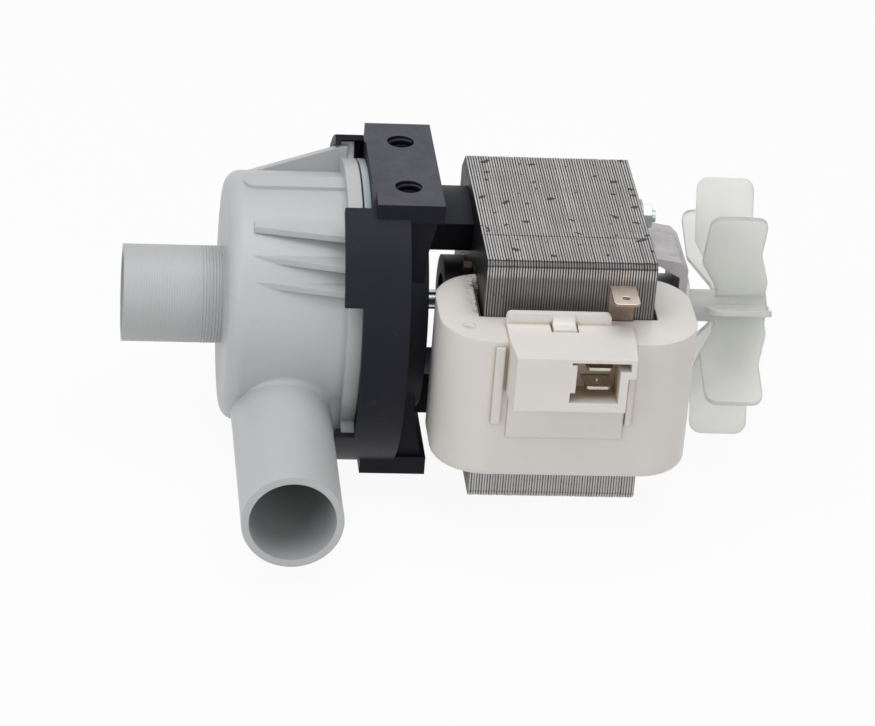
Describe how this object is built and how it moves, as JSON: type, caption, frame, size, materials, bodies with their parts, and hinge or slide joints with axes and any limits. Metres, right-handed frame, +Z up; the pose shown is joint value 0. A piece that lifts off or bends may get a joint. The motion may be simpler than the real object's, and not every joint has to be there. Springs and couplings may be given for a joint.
{
  "type": "washer drain pump",
  "caption": "Washing-machine drain pump: grey volute with inlet and side outlet spigots on a black bayonet bracket, driven by a shaded-pole motor with a cooling fan.",
  "frame": {"origin": "centre of the inlet mouth, on the shaft axis", "axes": "+X along the shaft from the inlet to the fan, +Z up through the top mounting plate, -Y towards the outlet mouth and the connector"},
  "size_m": [0.1602, 0.1156, 0.074],
  "materials": {
    "grey_housing": "satin moulded",
    "pale_seal_plate": "satin moulded",
    "black_rubber": "matt",
    "black_bracket": "satin moulded",
    "sintered_bronze": "matt, oily",
    "felt": "fibrous, oily",
    "spring_steel": "satin",
    "lamination_steel": "stacked sheet edges",
    "copper": "drawn wire",
    "enamelled_wire": "varnished",
    "cream_bobbin": "satin moulded",
    "warm_white_cover": "satin moulded",
    "white_connector": "semi-gloss moulded",
    "tinned_blade": "tinned sheet",
    "tinned_earth_blade": "tinned sheet",
    "cast_bridge": "as cast",
    "zinc_plate": "zinc plated",
    "ground_steel": "ground",
    "cast_cage": "as cast",
    "white_impeller": "satin moulded",
    "brown_washer": "laminate",
    "translucent_fan": "translucent moulded"
  },
  "bodies": {
    "pump": {"pump_housing": "grey_housing", "seal_plate": "pale_seal_plate", "housing_o_ring": "black_rubber", "shaft_seal": "black_rubber", "motor_bracket": "black_bracket", "front_bearing": "sintered_bronze", "front_felt_ring": "felt", "front_bearing_clip": "spring_steel", "stator_core": "lamination_steel", "coil_core": "lamination_steel", "shading_rings": "copper", "coil_bobbin": "cream_bobbin", "coil_winding": "enamelled_wire", "coil_cover": "warm_white_cover", "connector_housing": "white_connector", "supply_tabs": "tinned_blade", "earth_tab": "tinned_earth_blade", "rear_bridge": "cast_bridge", "rear_bearing": "sintered_bronze", "rear_felt_ring": "felt", "rear_bearing_clip": "spring_steel", "through_bolts": "zinc_plate", "bolt_nuts": "zinc_plate"},
    "rotor": {"shaft": "ground_steel", "rotor_core": "lamination_steel", "rotor_cage": "cast_cage", "impeller": "white_impeller", "water_slinger": "black_rubber", "thrust_washers": "brown_washer", "cooling_fan": "translucent_fan"}
  },
  "joints": [
    {"name": "rotor_spin", "type": "hinge", "parent": "pump", "child": "rotor", "pos_m": [0.1, 0, 0], "axis": [1, 0, 0], "continuous": true}
  ]
}
